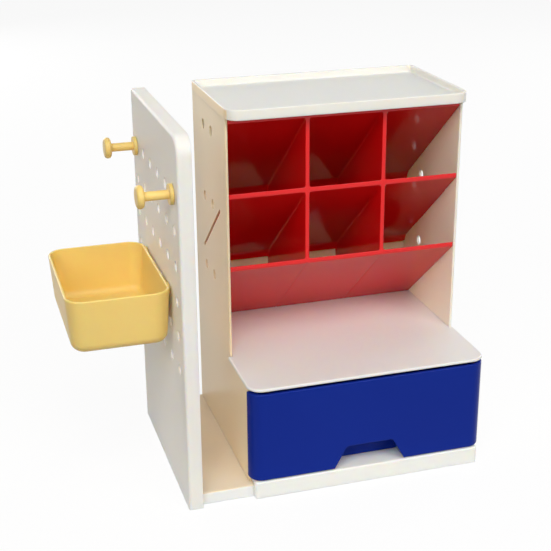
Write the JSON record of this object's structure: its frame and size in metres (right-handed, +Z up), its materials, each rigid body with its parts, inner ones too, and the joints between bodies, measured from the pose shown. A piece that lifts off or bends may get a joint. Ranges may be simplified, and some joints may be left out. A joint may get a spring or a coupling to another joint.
{
  "type": "desk shelf organizer",
  "caption": "Free-standing desk organizer with slanted pen cells, top tray, shelf, drawer and a sliding side pegboard that carries plug-in hooks and a basket",
  "frame": {"origin": "on the floor under the middle of the cabinet's footprint, on the base's cross rib", "axes": "X to the right as seen from the front, Y to the back, Z up"},
  "size_m": [0.3362, 0.174, 0.307],
  "materials": {
    "white_plastic": "glossy warm white",
    "red_plastic": "glossy",
    "blue_plastic": "glossy",
    "yellow_plastic": "satin",
    "screw_steel": "bright zinc"
  },
  "bodies": {
    "cabinet": {"left_side_wall": "white_plastic", "right_side_wall": "white_plastic", "back_panel": "white_plastic", "top_tray": "white_plastic", "middle_shelf": "white_plastic", "base_deck": "white_plastic", "upper_pen_plate": "red_plastic", "middle_pen_plate": "red_plastic", "lower_pen_plate": "red_plastic", "upper_left_divider": "red_plastic", "upper_right_divider": "red_plastic", "lower_left_divider": "red_plastic", "lower_right_divider": "red_plastic", "back_panel_screws": "screw_steel"},
    "drawer": {"drawer": "blue_plastic"},
    "pegboard": {"pegboard_panel": "white_plastic", "pegboard_foot": "white_plastic", "foot_screws": "screw_steel"},
    "hook_back": {"hook_back": "yellow_plastic"},
    "hook_front": {"hook_front": "yellow_plastic"},
    "basket": {"basket": "yellow_plastic"}
  },
  "joints": [
    {"name": "drawer_slide", "type": "slide", "parent": "cabinet", "child": "drawer", "axis": [0, -1, 0], "range_m": [0, 0.12]},
    {"name": "pegboard_slide", "type": "slide", "parent": "cabinet", "child": "pegboard", "axis": [-1, 0, 0], "range_m": [-0.04, 0.0294]},
    {"name": "hook_back_pull", "type": "slide", "parent": "pegboard", "child": "hook_back", "axis": [-1, 0, 0], "range_m": [0, 0.03]},
    {"name": "hook_front_pull", "type": "slide", "parent": "pegboard", "child": "hook_front", "axis": [-1, 0, 0], "range_m": [0, 0.03]},
    {"name": "basket_pull", "type": "slide", "parent": "pegboard", "child": "basket", "axis": [-1, 0, 0], "range_m": [0, 0.03]}
  ]
}
